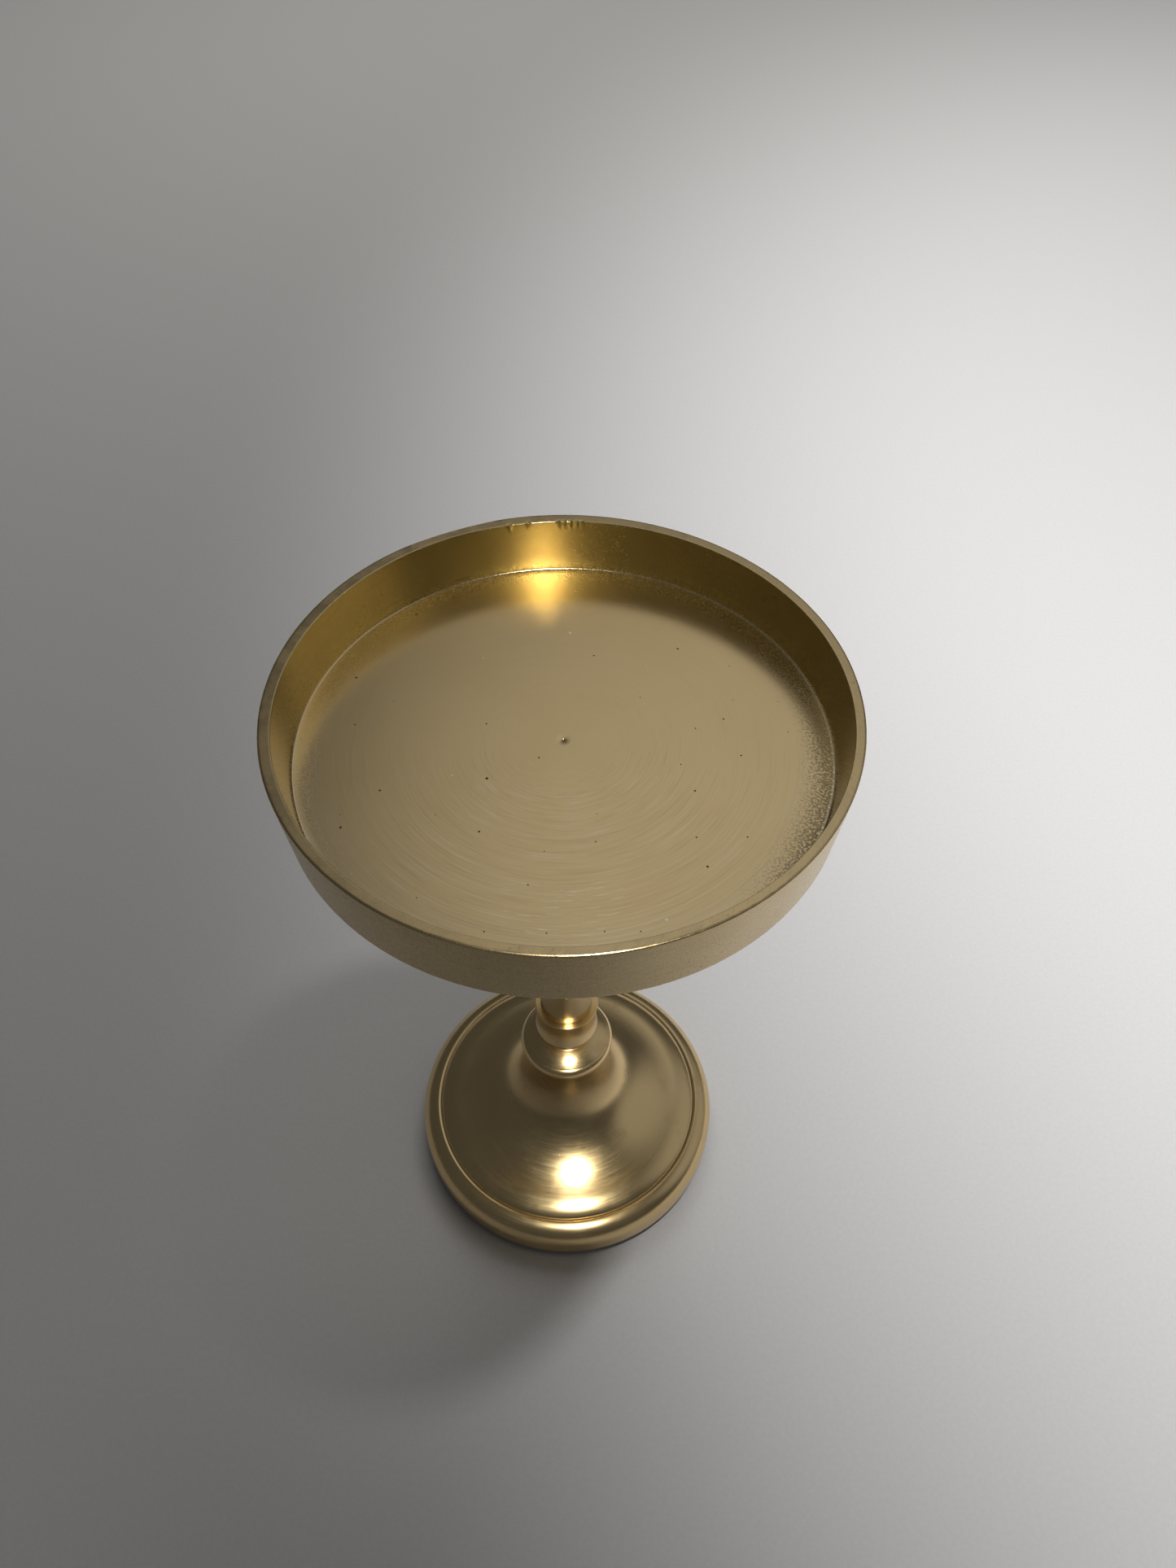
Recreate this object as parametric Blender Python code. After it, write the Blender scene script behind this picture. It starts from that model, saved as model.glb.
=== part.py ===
"""Pillar candle holder: a turned metal pan on a baluster stem and a bell-shaped base.

Every piece is turned about the world Z axis. The felt's underside is at Z = 0 and the
rim of the pan is at Z = HEIGHT. Lengths are in metres, and an outline is a list of
(radius, height) points that runs down the outer side of the piece.
"""
import math

import bmesh
import bpy

# Overall sizes
HEIGHT = 0.160
PAN_RADIUS = 0.050
FOOT_RADIUS = 0.0382
GAP = 0.0003

# Pan
PAN_DEPTH = 0.0104
PAN_FLOOR_THICKNESS = 0.0036
RIM_WIDTH = 0.0020
RIM_CHAMFER_WIDTH = 0.0007
RIM_CHAMFER_DROP = 0.0005
WALL_DRAFT_INSIDE = 0.0014
WALL_DRAFT_OUTSIDE = 0.0012
FLOOR_FILLET = 0.0004
PAN_EDGE_FILLET = 0.0006
CENTRE_MARK_RADIUS = 0.0006
CENTRE_MARK_DEPTH = 0.0004
BOSS_RADIUS = 0.0090
BOSS_HEIGHT = 0.0050
BOSS_FILLET = 0.0020
TAPPED_HOLE_DEPTH = 0.0070

# Stem
STEM_RADIUS = 0.0060
COLLAR_RADIUS = 0.0074
COLLAR_WAIST_RADIUS = 0.0069
COLLAR_HEIGHT = 0.0092
COLLAR_ROUND = 0.0005
BEAD_HEIGHT = 0.0096
BEAD_NECK_RADIUS = 0.0056
DOME_RADIUS = 0.0127
DOME_CENTRE_RADIUS = 0.0026
DOME_CENTRE_DROP = 0.0064
DOME_START = 75
DOME_END = 55
BEAD_RING_REACH = 0.0016
BEAD_RING_RISE = 0.0019
BEAD_RING_CENTRE_RADIUS = 0.0095
BEAD_RING_START = 75

# Bell-shaped base
BELL_TOP_HEIGHT = 0.0401
BELL_NECK_RADIUS = 0.0082
BELL_NECK_PULL = 0.0171
BELL_SHOULDER = (0.0280, 0.0130)
BELL_SHOULDER_PULL = (0.0152, 0.0157)
BELL_ROLL_PULL = (0.0305, 0.0125)
BELL_LIP_PULL = (0.0322, 0.0118)
BELL_LIP = (0.0331, 0.0109)
HUB_SEAT_HEIGHT = 0.0200
HUB_SEAT_RADIUS = 0.0098
GROOVE_RADIUS = 0.0334
GROOVE_HEIGHT = 0.0103
FOOT_ROUND = 0.0048
FOOT_ROUND_START = 78
FOOT_LAND_WIDTH = 0.0030
RECESS_DEPTH = 0.0013
HOLLOW_EDGE_RADIUS = 0.0310
HOLLOW_EDGE_HEIGHT = 0.0063
HOLLOW_EDGE_PULL = (0.0260, 0.0094)
HUB_SEAT_PULL = (0.0124, 0.0140)

# Fixings: an M6 rod, its washers and its nut
ROD_RADIUS = 0.0030
ROD_TAIL = 0.0035
THREAD_PITCH = 0.0010
THREAD_DEPTH = 0.00055
THREAD_CREST = 0.2
THREAD_ROOT = 0.7
THREADED_LENGTH_TOP = 0.0060
THREADED_LENGTH_BOTTOM = 0.0120
WASHER_RADIUS = 0.0090
WASHER_THICKNESS = 0.0016
SPRING_WASHER_RADIUS = 0.0059
SPRING_WASHER_THICKNESS = 0.0016
SPRING_WASHER_SPLIT = 0.0008
NUT_ACROSS_FLATS = 0.0100
NUT_THICKNESS = 0.0050
NUT_CHAMFER = 0.0006
NUT_FACE_SHARE = 0.98

# Underside
FELT_RADIUS = 0.0368
FELT_THICKNESS = 0.0015
CARD_THICKNESS = 0.0010

# Roundness of the turned pieces: steps round the axis, and steps along each curve
WIDE_SEGMENTS = 72
SMALL_SEGMENTS = 36
ROD_SEGMENTS = 18
EDGE_STEPS = 3
FILLET_STEPS = 4
DOME_STEPS = 6
BEAD_RING_STEPS = 8
BELL_STEPS = 10
HOLLOW_STEPS = 5
SHARP_ANGLE = math.radians(30)
MERGE_DISTANCE = 0.00001

HOLE_RADIUS = ROD_RADIUS + GAP
PAN_UNDERSIDE = HEIGHT - PAN_DEPTH - PAN_FLOOR_THICKNESS
BOSS_UNDERSIDE = PAN_UNDERSIDE - BOSS_HEIGHT
UPPER_COLLAR_TOP = BOSS_UNDERSIDE - GAP
BEAD_TOP = BELL_TOP_HEIGHT + GAP + BEAD_HEIGHT
LOWER_COLLAR_TOP = BEAD_TOP + GAP + COLLAR_HEIGHT
STEM_TOP = UPPER_COLLAR_TOP - COLLAR_HEIGHT - GAP
STEM_BOTTOM = LOWER_COLLAR_TOP + GAP
FOOT_UNDERSIDE = FELT_THICKNESS + GAP
WASHER_TOP = HUB_SEAT_HEIGHT - GAP
SPRING_WASHER_TOP = WASHER_TOP - WASHER_THICKNESS - GAP
NUT_TOP = SPRING_WASHER_TOP - SPRING_WASHER_THICKNESS - GAP


def clear_scene():
    """Remove the objects that a new file starts with."""
    for item in list(bpy.data.objects):
        bpy.data.objects.remove(item, do_unlink=True)


def make_material(name, colour, roughness, metallic):
    """Return a Principled material in one plain colour."""
    material = bpy.data.materials.new(name)
    material.use_nodes = True
    shader = material.node_tree.nodes["Principled BSDF"]
    shader.inputs["Base Color"].default_value = (*colour, 1.0)
    shader.inputs["Roughness"].default_value = roughness
    shader.inputs["Metallic"].default_value = metallic
    material.diffuse_color = (*colour, 1.0)
    return material


def arc(centre, radii, start, end, steps):
    """Return points along an arc or a quarter of an ellipse; the angles are in degrees."""
    points = []
    for step in range(steps + 1):
        angle = math.radians(start + (end - start) * step / steps)
        radius = centre[0] + radii[0] * math.cos(angle)
        height = centre[1] + radii[1] * math.sin(angle)
        points.append((radius, height))
    return points


def flare(start, start_pull, end_pull, end, steps):
    """Return points along a cubic Bezier curve between two points."""
    points = []
    for step in range(steps + 1):
        t = step / steps
        weights = ((1 - t) ** 3, 3 * t * (1 - t) ** 2, 3 * t * t * (1 - t), t ** 3)
        controls = (start, start_pull, end_pull, end)
        radius = sum(w * p[0] for w, p in zip(weights, controls))
        height = sum(w * p[1] for w, p in zip(weights, controls))
        points.append((radius, height))
    return points


def add_object(name, mesh, material):
    """Put a mesh in the scene as one named piece."""
    mesh.materials.append(material)
    piece = bpy.data.objects.new(name, mesh)
    bpy.context.scene.collection.objects.link(piece)
    return piece


def turn(name, outline, material, segments, ring=False):
    """Turn an outline about Z with a Screw modifier. A ring's outline closes on itself."""
    mesh = bpy.data.meshes.new(name)
    points = [(radius, 0.0, height) for radius, height in outline]
    edges = [(index, index + 1) for index in range(len(points) - 1)]
    if ring:
        edges.append((len(points) - 1, 0))
    mesh.from_pydata(points, edges, [])
    piece = add_object(name, mesh, material)
    screw = piece.modifiers.new("Turn", "SCREW")
    screw.axis = "Z"
    screw.angle = math.tau
    screw.steps = segments
    screw.render_steps = segments
    screw.use_merge_vertices = True
    screw.merge_threshold = MERGE_DISTANCE
    keep_turned_mesh(piece)
    return piece


def keep_turned_mesh(piece):
    """Swap the modifier for its mesh, shaded smooth except at the turned corners."""
    graph = bpy.context.evaluated_depsgraph_get()
    turned = bpy.data.meshes.new_from_object(piece.evaluated_get(graph))
    piece.modifiers.clear()
    piece.data = turned
    turned.shade_smooth()
    turned.set_sharp_from_angle(angle=SHARP_ANGLE)


def add_pan(material):
    """The pan: a flat floor, a low wall, and a tapped boss beneath."""
    floor = HEIGHT - PAN_DEPTH
    inner_top = PAN_RADIUS - RIM_WIDTH
    inner_foot = inner_top - WALL_DRAFT_INSIDE
    outer_foot = PAN_RADIUS - WALL_DRAFT_OUTSIDE
    hole_end = BOSS_UNDERSIDE + TAPPED_HOLE_DEPTH
    outline = [(0.0, floor - CENTRE_MARK_DEPTH), (CENTRE_MARK_RADIUS, floor)]
    fillet_centre = (inner_foot - FLOOR_FILLET, floor + FLOOR_FILLET)
    outline += arc(fillet_centre, (FLOOR_FILLET, FLOOR_FILLET), -90, 0, FILLET_STEPS)
    outline.append((inner_top, HEIGHT))
    outline.append((PAN_RADIUS - RIM_CHAMFER_WIDTH, HEIGHT))
    outline.append((PAN_RADIUS, HEIGHT - RIM_CHAMFER_DROP))
    edge_centre = (outer_foot - PAN_EDGE_FILLET, PAN_UNDERSIDE + PAN_EDGE_FILLET)
    outline += arc(edge_centre, (PAN_EDGE_FILLET, PAN_EDGE_FILLET), 0, -90, EDGE_STEPS)
    boss_corner = (BOSS_RADIUS + BOSS_FILLET, PAN_UNDERSIDE - BOSS_FILLET)
    outline += arc(boss_corner, (BOSS_FILLET, BOSS_FILLET), 90, 180, FILLET_STEPS)
    outline.append((BOSS_RADIUS, BOSS_UNDERSIDE))
    outline.append((HOLE_RADIUS, BOSS_UNDERSIDE))
    outline.append((HOLE_RADIUS, hole_end))
    outline.append((0.0, hole_end))
    return turn("pan", outline, material, WIDE_SEGMENTS)


def add_collar(name, top, material):
    """A waisted collar with rounded edges, bored for the rod."""
    bottom = top - COLLAR_HEIGHT
    edge = COLLAR_RADIUS - COLLAR_ROUND
    rounding = (COLLAR_ROUND, COLLAR_ROUND)
    outline = arc((edge, top - COLLAR_ROUND), rounding, 90, 0, EDGE_STEPS)
    outline.append((COLLAR_WAIST_RADIUS, (top + bottom) / 2))
    outline += arc((edge, bottom + COLLAR_ROUND), rounding, 0, -90, EDGE_STEPS)
    outline.append((HOLE_RADIUS, bottom))
    outline.append((HOLE_RADIUS, top))
    return turn(name, outline, material, SMALL_SEGMENTS, ring=True)


def add_stem_tube(material):
    """The plain column between the two collars."""
    outline = [
        (STEM_RADIUS, STEM_TOP),
        (STEM_RADIUS, STEM_BOTTOM),
        (HOLE_RADIUS, STEM_BOTTOM),
        (HOLE_RADIUS, STEM_TOP),
    ]
    return turn("stem_tube", outline, material, SMALL_SEGMENTS, ring=True)


def add_bead_ring(material):
    """The bead: a short neck, a low dome and a bolder ring beneath it."""
    bottom = BEAD_TOP - BEAD_HEIGHT
    dome_centre = (DOME_CENTRE_RADIUS, bottom - DOME_CENTRE_DROP)
    ring_centre = (BEAD_RING_CENTRE_RADIUS, bottom + BEAD_RING_RISE)
    outline = [(BEAD_NECK_RADIUS, BEAD_TOP)]
    outline += arc(dome_centre, (DOME_RADIUS, DOME_RADIUS), DOME_START, DOME_END, DOME_STEPS)
    ring_rounding = (BEAD_RING_REACH, BEAD_RING_RISE)
    outline += arc(ring_centre, ring_rounding, BEAD_RING_START, -90, BEAD_RING_STEPS)
    outline.append((HOLE_RADIUS, bottom))
    outline.append((HOLE_RADIUS, BEAD_TOP))
    return turn("bead_ring", outline, material, SMALL_SEGMENTS, ring=True)


def add_bell_base(material):
    """The bell: a flared casting on a rounded foot, hollow beneath, with a hub for the rod."""
    neck = (BELL_NECK_RADIUS, BELL_TOP_HEIGHT)
    neck_pull = (BELL_NECK_RADIUS, BELL_TOP_HEIGHT - BELL_NECK_PULL)
    outline = flare(neck, neck_pull, BELL_SHOULDER_PULL, BELL_SHOULDER, BELL_STEPS)
    outline += flare(BELL_SHOULDER, BELL_ROLL_PULL, BELL_LIP_PULL, BELL_LIP, FILLET_STEPS)[1:]
    outline.append((GROOVE_RADIUS, GROOVE_HEIGHT))
    foot_centre = (FOOT_RADIUS - FOOT_ROUND, GROOVE_HEIGHT - FOOT_ROUND + GAP)
    outline += arc(foot_centre, (FOOT_ROUND, FOOT_ROUND), FOOT_ROUND_START, 0, FILLET_STEPS)
    outline.append((FOOT_RADIUS, FOOT_UNDERSIDE + GAP))
    outline.append((FOOT_RADIUS - GAP, FOOT_UNDERSIDE))
    land = FOOT_RADIUS - FOOT_LAND_WIDTH
    outline.append((land, FOOT_UNDERSIDE))
    outline.append((land, FOOT_UNDERSIDE + RECESS_DEPTH))
    outline.append((HOLLOW_EDGE_RADIUS, FOOT_UNDERSIDE + RECESS_DEPTH))
    hollow_edge = (HOLLOW_EDGE_RADIUS, HOLLOW_EDGE_HEIGHT)
    seat = (HUB_SEAT_RADIUS, HUB_SEAT_HEIGHT)
    outline += flare(hollow_edge, HOLLOW_EDGE_PULL, HUB_SEAT_PULL, seat, HOLLOW_STEPS)
    outline.append((HOLE_RADIUS, HUB_SEAT_HEIGHT))
    outline.append((HOLE_RADIUS, BELL_TOP_HEIGHT))
    return turn("bell_base", outline, material, WIDE_SEGMENTS, ring=True)


def thread_points(top, length):
    """Return the rounded teeth of a thread, as rings down the rod's outer side."""
    points = []
    for tooth in range(round(length / THREAD_PITCH)):
        tooth_top = top - tooth * THREAD_PITCH
        points.append((ROD_RADIUS, tooth_top - THREAD_PITCH * THREAD_CREST))
        points.append((ROD_RADIUS - THREAD_DEPTH, tooth_top - THREAD_PITCH * THREAD_ROOT))
    return points


def add_tie_rod(material):
    """The rod that clamps the stack together, threaded at both ends."""
    top = BOSS_UNDERSIDE + TAPPED_HOLE_DEPTH - GAP
    bottom = NUT_TOP - NUT_THICKNESS - ROD_TAIL
    shank_top = top - THREAD_PITCH - THREADED_LENGTH_TOP
    shank_bottom = bottom + THREAD_PITCH + THREADED_LENGTH_BOTTOM
    tip = ROD_RADIUS - THREAD_DEPTH
    outline = [(0.0, top), (tip, top)]
    outline += thread_points(top - THREAD_PITCH / 2, THREADED_LENGTH_TOP)
    outline.append((ROD_RADIUS, shank_top))
    outline.append((ROD_RADIUS, shank_bottom))
    outline += thread_points(shank_bottom - THREAD_PITCH / 2, THREADED_LENGTH_BOTTOM)
    outline.append((tip, bottom))
    outline.append((0.0, bottom))
    return turn("tie_rod", outline, material, ROD_SEGMENTS)


def add_flat_washer(material):
    """The wide washer that spreads the nut's load on the hub."""
    bottom = WASHER_TOP - WASHER_THICKNESS
    outline = [
        (WASHER_RADIUS, WASHER_TOP),
        (WASHER_RADIUS, bottom),
        (HOLE_RADIUS, bottom),
        (HOLE_RADIUS, WASHER_TOP),
    ]
    return turn("flat_washer", outline, material, SMALL_SEGMENTS, ring=True)


def add_spring_washer(material):
    """A split ring of square section. Its cut ends are closed, and stand slightly apart."""
    top = SPRING_WASHER_TOP
    bottom = top - SPRING_WASHER_THICKNESS
    section = [
        (SPRING_WASHER_RADIUS, top),
        (SPRING_WASHER_RADIUS, bottom),
        (HOLE_RADIUS, bottom),
        (HOLE_RADIUS, top),
    ]
    sweep = math.tau - SPRING_WASHER_SPLIT / HOLE_RADIUS
    shape = bmesh.new()
    corners = [shape.verts.new((radius, 0.0, height)) for radius, height in section]
    start = shape.faces.new(corners)
    geometry = [start] + list(start.edges) + corners
    bmesh.ops.spin(shape, geom=geometry, cent=(0, 0, 0), axis=(0, 0, 1), angle=sweep,
                   steps=SMALL_SEGMENTS, use_duplicate=False)
    bmesh.ops.recalc_face_normals(shape, faces=shape.faces)
    mesh = bpy.data.meshes.new("spring_washer")
    shape.to_mesh(mesh)
    shape.free()
    return add_object("spring_washer", mesh, material)


def hexagon_reach(angle):
    """Return the distance from a hexagon's centre to its edge at this angle."""
    sector = math.tau / 6
    offset = (angle % sector) - sector / 2
    return NUT_ACROSS_FLATS / 2 / math.cos(offset)


def add_hex_nut(material):
    """A hexagon nut with both faces chamfered on its corners."""
    top = NUT_TOP
    bottom = NUT_TOP - NUT_THICKNESS
    face_radius = NUT_ACROSS_FLATS / 2 * NUT_FACE_SHARE
    mesh = bpy.data.meshes.new("hex_nut")
    shape = bmesh.new()
    rings = []
    for height, drawn_in in ((top, True), (top - NUT_CHAMFER, False),
                             (bottom + NUT_CHAMFER, False), (bottom, True)):
        ring = []
        for step in range(SMALL_SEGMENTS):
            angle = math.tau * step / SMALL_SEGMENTS
            reach = face_radius if drawn_in else hexagon_reach(angle)
            ring.append(shape.verts.new((reach * math.cos(angle), reach * math.sin(angle), height)))
        rings.append(ring)
    for height in (bottom, top):
        ring = []
        for step in range(SMALL_SEGMENTS):
            angle = math.tau * step / SMALL_SEGMENTS
            x = HOLE_RADIUS * math.cos(angle)
            y = HOLE_RADIUS * math.sin(angle)
            ring.append(shape.verts.new((x, y, height)))
        rings.append(ring)
    for index, ring in enumerate(rings):
        following = rings[(index + 1) % len(rings)]
        for step in range(SMALL_SEGMENTS):
            beside = (step + 1) % SMALL_SEGMENTS
            shape.faces.new((ring[step], following[step], following[beside], ring[beside]))
    bmesh.ops.recalc_face_normals(shape, faces=shape.faces)
    shape.to_mesh(mesh)
    shape.free()
    return add_object("hex_nut", mesh, material)


def add_disc(name, radius, top, thickness, material):
    """A plain disc whose flat faces meet crisp edges."""
    bottom = top - thickness
    outline = [(0.0, top), (radius, top), (radius, bottom), (0.0, bottom)]
    return turn(name, outline, material, WIDE_SEGMENTS)


def build():
    """Make every piece of the candle holder."""
    clear_scene()
    pan_metal = make_material("pan_brass", (0.66, 0.53, 0.33), 0.38, 1.0)
    base_metal = make_material("base_brass", (0.64, 0.52, 0.32), 0.24, 1.0)
    zinc = make_material("zinc_plated_steel", (0.62, 0.63, 0.65), 0.32, 1.0)
    card = make_material("grey_board", (0.30, 0.27, 0.23), 0.90, 0.0)
    felt = make_material("dark_felt", (0.030, 0.045, 0.035), 0.95, 0.0)

    add_pan(pan_metal)
    add_collar("upper_collar", UPPER_COLLAR_TOP, base_metal)
    add_stem_tube(base_metal)
    add_collar("lower_collar", LOWER_COLLAR_TOP, base_metal)
    add_bead_ring(base_metal)
    add_bell_base(base_metal)
    add_tie_rod(zinc)
    add_flat_washer(zinc)
    add_spring_washer(zinc)
    add_hex_nut(zinc)
    add_disc("backing_card", FOOT_RADIUS - FOOT_LAND_WIDTH - GAP,
             FOOT_UNDERSIDE + CARD_THICKNESS, CARD_THICKNESS, card)
    add_disc("felt_pad", FELT_RADIUS, FELT_THICKNESS, FELT_THICKNESS, felt)


build()
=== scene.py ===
import math

import bpy
import numpy as np
from mathutils import Matrix, Vector


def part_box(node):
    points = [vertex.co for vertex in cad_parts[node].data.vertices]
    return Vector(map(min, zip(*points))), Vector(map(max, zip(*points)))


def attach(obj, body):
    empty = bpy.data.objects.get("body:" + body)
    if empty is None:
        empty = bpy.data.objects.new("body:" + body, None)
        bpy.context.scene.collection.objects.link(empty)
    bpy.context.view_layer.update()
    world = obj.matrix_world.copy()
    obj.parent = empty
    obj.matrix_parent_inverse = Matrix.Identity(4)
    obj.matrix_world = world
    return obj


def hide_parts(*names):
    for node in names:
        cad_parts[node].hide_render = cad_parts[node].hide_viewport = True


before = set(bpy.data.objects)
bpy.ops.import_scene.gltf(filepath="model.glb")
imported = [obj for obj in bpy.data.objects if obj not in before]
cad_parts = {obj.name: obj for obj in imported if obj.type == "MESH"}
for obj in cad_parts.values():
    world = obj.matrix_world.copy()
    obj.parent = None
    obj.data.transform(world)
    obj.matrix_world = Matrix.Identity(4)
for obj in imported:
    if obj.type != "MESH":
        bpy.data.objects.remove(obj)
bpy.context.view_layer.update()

MM = 0.001
TAU = math.tau

# Camera: a wide lens held close, in front of and above the dish; angles in radians
LENS_MM = 26.25
SENSOR_MM = 36.0
CAMERA_DISTANCE = 133.8 * MM
CAMERA_ABOVE_RIM = 135.7 * MM
CAMERA_PITCH = 0.868
CAMERA_YAW = 0.021
CAMERA_ROLL = -0.011

# Roundness of the finished pieces
DISH_SEGMENTS = 1152
BASE_SEGMENTS = 384
STEM_SEGMENTS = 192
HARDWARE_SEGMENTS = 96
SMOOTH_ANGLE = math.radians(40)

# Dish
DISH_DEPTH = 10.4 * MM
DISH_FLOOR_THICKNESS = 3.6 * MM
RIM_WIDTH = 2.0 * MM
DRAFT_INSIDE = 1.4 * MM
DRAFT_OUTSIDE = 1.2 * MM
FLOOR_FILLET = 0.35 * MM
CENTRE_MARK = ((0.0, -0.25 * MM), (0.14 * MM, -0.2 * MM), (0.26 * MM, -0.03 * MM), (0.35 * MM, 0.0))
BORE_OFFSET = (0.175 * MM, -0.378 * MM)
BEVEL_WIDTH = 0.40 * MM
BEVEL_DROP = 0.35 * MM
FLAT_ANGLE = math.radians(115)
FLAT_SPREAD = math.radians(8)
FLAT_DEPTH = 0.45 * MM
FLAT_SHARE_ON_RIM = 0.35
NICK_ANGLES = (102.0, 97.6, 90.6, 89.3, 87.9, 86.4, 85.2)
NICK_SPREAD = math.radians(0.30)
NICK_DEPTH = 0.16 * MM
NICK_REACH = 0.25 * MM
NICK_SLANT = 0.6
RAGGED_ANGLE = math.radians(-52)
RAGGED_SPREAD = math.radians(22)
BEVEL_WAVE = 0.10
BEVEL_RAGGED = 0.30
BOSS_RADIUS = 9.0 * MM
BOSS_FILLET = 2.0 * MM
HOLE_DEPTH = 7.0 * MM

# Stem and base
ROD_RADIUS = 3.0 * MM
HOLE_RADIUS = 3.3 * MM
SEAM = 0.13 * MM
COLLAR_WAIST_DEPTH = 0.75 * MM
COLLAR_WAIST_PULL = 1.5 * MM
BEAD_NECK = 5.6 * MM
DOME_RADIUS = 12.7 * MM
DOME_CENTRE = 2.6 * MM
DOME_DROP = 6.4 * MM
DOME_START = 75
DOME_END = 55
BEAD_RING_REACH = 1.6 * MM
BEAD_RING_RISE = 1.9 * MM
BEAD_RING_START = 75
BEAD_RING_END = -88
BELL_NECK = 8.2 * MM
BELL_NECK_PULL = 17.1 * MM
BELL_SHOULDER = (28.0 * MM, 13.0 * MM)
BELL_SHOULDER_PULL = (15.2 * MM, 15.7 * MM)
BELL_ROLL_PULL = (30.5 * MM, 12.5 * MM)
BELL_LIP_PULL = (32.2 * MM, 11.8 * MM)
BELL_LIP = (33.1 * MM, 10.9 * MM)
GROOVE = (33.3 * MM, 10.3 * MM)
FOOT_ROUND = 4.8 * MM
FOOT_ROUND_TOP = 10.6 * MM
FOOT_ROUND_START = 84
FOOT_LAND = 3.0 * MM
RECESS_DEPTH = 1.3 * MM
HOLLOW_RADIUS = 31.0 * MM
HOLLOW_HEIGHT = 6.3 * MM
HOLLOW_PULL = (26.0 * MM, 9.4 * MM)
HUB_PULL = (12.4 * MM, 14.0 * MM)
HUB_SEAT = (9.8 * MM, 20.0 * MM)

# Fixings, card and felt
THREAD_PITCH = 1.0 * MM
THREAD_DEPTH = 0.55 * MM
THREAD_SLOPE = 2.6
THREAD_FLAT = 0.25
THREAD_UPPER_LENGTH = 6.5 * MM
THREAD_LOWER_LENGTH = 12.5 * MM
ROD_CHAMFER = 0.5 * MM
NUT_ACROSS_FLATS = 10.0 * MM
NUT_FACE_SHARE = 0.97
NUT_CHAMFER_ANGLE = math.radians(30)
SPRING_RISE = 0.12 * MM
SPRING_GAP = 0.8 * MM
CARD_WEAR = 0.08 * MM
FELT_SINK = 0.05 * MM
FELT_FRAY = 0.16 * MM

# Metal tones
BRASS = (0.80, 0.605, 0.315)
BRASS_WORN = (0.74, 0.54, 0.26)
BRASS_DEEP = (0.62, 0.49, 0.19)
BRASS_DEEP_WORN = (0.53, 0.41, 0.15)
# A darker copy of the brass, painted shade for the column, outer wall and rim; the metal is the bell's.
BRASS_SHADED = (0.58, 0.45, 0.245)
BRASS_SHADED_WORN = (0.53, 0.395, 0.20)
# A dark brass painted on the bell's neck as shade.
BRASS_NECK_PAINTED_SHADE = (0.44, 0.33, 0.17)
BRASS_PALE = (0.88, 0.78, 0.58)
BRASS_STAIN = (0.58, 0.38, 0.19)
BRASS_LINE = (0.50, 0.385, 0.21)
BRASS_FILED = (0.45, 0.34, 0.18)
BRASS_DUST = (0.80, 0.74, 0.58)
BRASS_FLECK = (0.9, 0.86, 0.74)
# Bright colour of the front scratches: a painted glint.
BRASS_SCRATCH_GLINT = (1.0, 0.84, 0.52)
CAST_LIGHT = (0.46, 0.34, 0.17)
CAST_DARK = (0.34, 0.25, 0.13)
PATINA = (0.16, 0.125, 0.065)
PIT = (0.04, 0.032, 0.018)
ZINC = (0.62, 0.64, 0.67)
ZINC_DULL = (0.50, 0.52, 0.50)
ZINC_YELLOW = (0.62, 0.56, 0.38)

# Card, felt and floor tones
CARD_DARK = (0.24, 0.215, 0.18)
CARD_LIGHT = (0.34, 0.31, 0.265)
CARD_FLECK = (0.12, 0.10, 0.08)
FELT_DARK = (0.012, 0.020, 0.015)
FELT_LIGHT = (0.045, 0.065, 0.050)
FELT_MATTED = (0.028, 0.038, 0.030)
FELT_LINT = (0.16, 0.17, 0.15)
PAPER_DARK = (0.445, 0.44, 0.44)
PAPER_LIGHT = (0.465, 0.46, 0.46)

# Finish: how deep the fine marks are, and what the metal's materials share
DISH_FLOOR_RELIEF = 0.0030 * MM
DISH_WALL_RELIEF = 0.0025 * MM
RIM_RELIEF = 0.008 * MM
BASE_RELIEF = 0.003 * MM
CAST_RELIEF = 0.12 * MM
ZINC_RELIEF = 0.006 * MM
CARD_RELIEF = 0.05 * MM
FELT_RELIEF = 0.22 * MM
PAPER_RELIEF = 0.1 * MM
INNER_WALL_ROUGHNESS = 0.155
OUTER_WALL_ROUGHNESS = 0.24
BELL_NECK_SHADE = 0.85
WALL_RADIUS = 50 * MM
PIT_RADIUS = 20 * MM

# Light. A glow has a direction, the cosines at its edge and at its full middle, and a strength.
GLOW_LEVEL = 0.062
GLOWS = (
    ((0.135, 0.581, 0.799), 0.91, 0.995, 0.41),
    ((0.80, 0.15, 0.58), 0.78, 0.97, 0.27),
)
KEY_PLACE = (0.20, 0.05, 0.85)
KEY_AIM = (0.65, 0.22, 0.0)
KEY_ANGLE = math.radians(100)
KEY_BLEND = 0.70
KEY_POWER = 41.0
KEY_RADIUS = 0.03
FILL_PLACE = (0.0, 0.90, 0.90)
FILL_AIM = (0.0, 0.80, 0.0)
FILL_SIZE = 0.90
FILL_POWER = 6.5
LAMP_SIDE = 0.022
LAMP_FRONT = -0.134
LAMP_ABOVE_RIM = 0.148
LAMP_SIZE = 0.006
LAMP_POWER = 0.50
LAMP_COLOUR = (1.0, 0.98, 0.90)
KEY_COLOUR = (1.0, 0.995, 0.985)
FILL_COLOUR = (1.0, 0.97, 0.92)
WORLD_COLOUR = (0.98, 0.985, 1.0, 1.0)
FLOOR_HALF_SIZE = 4.0


# ---------------------------------------------------------------- outlines

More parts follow.
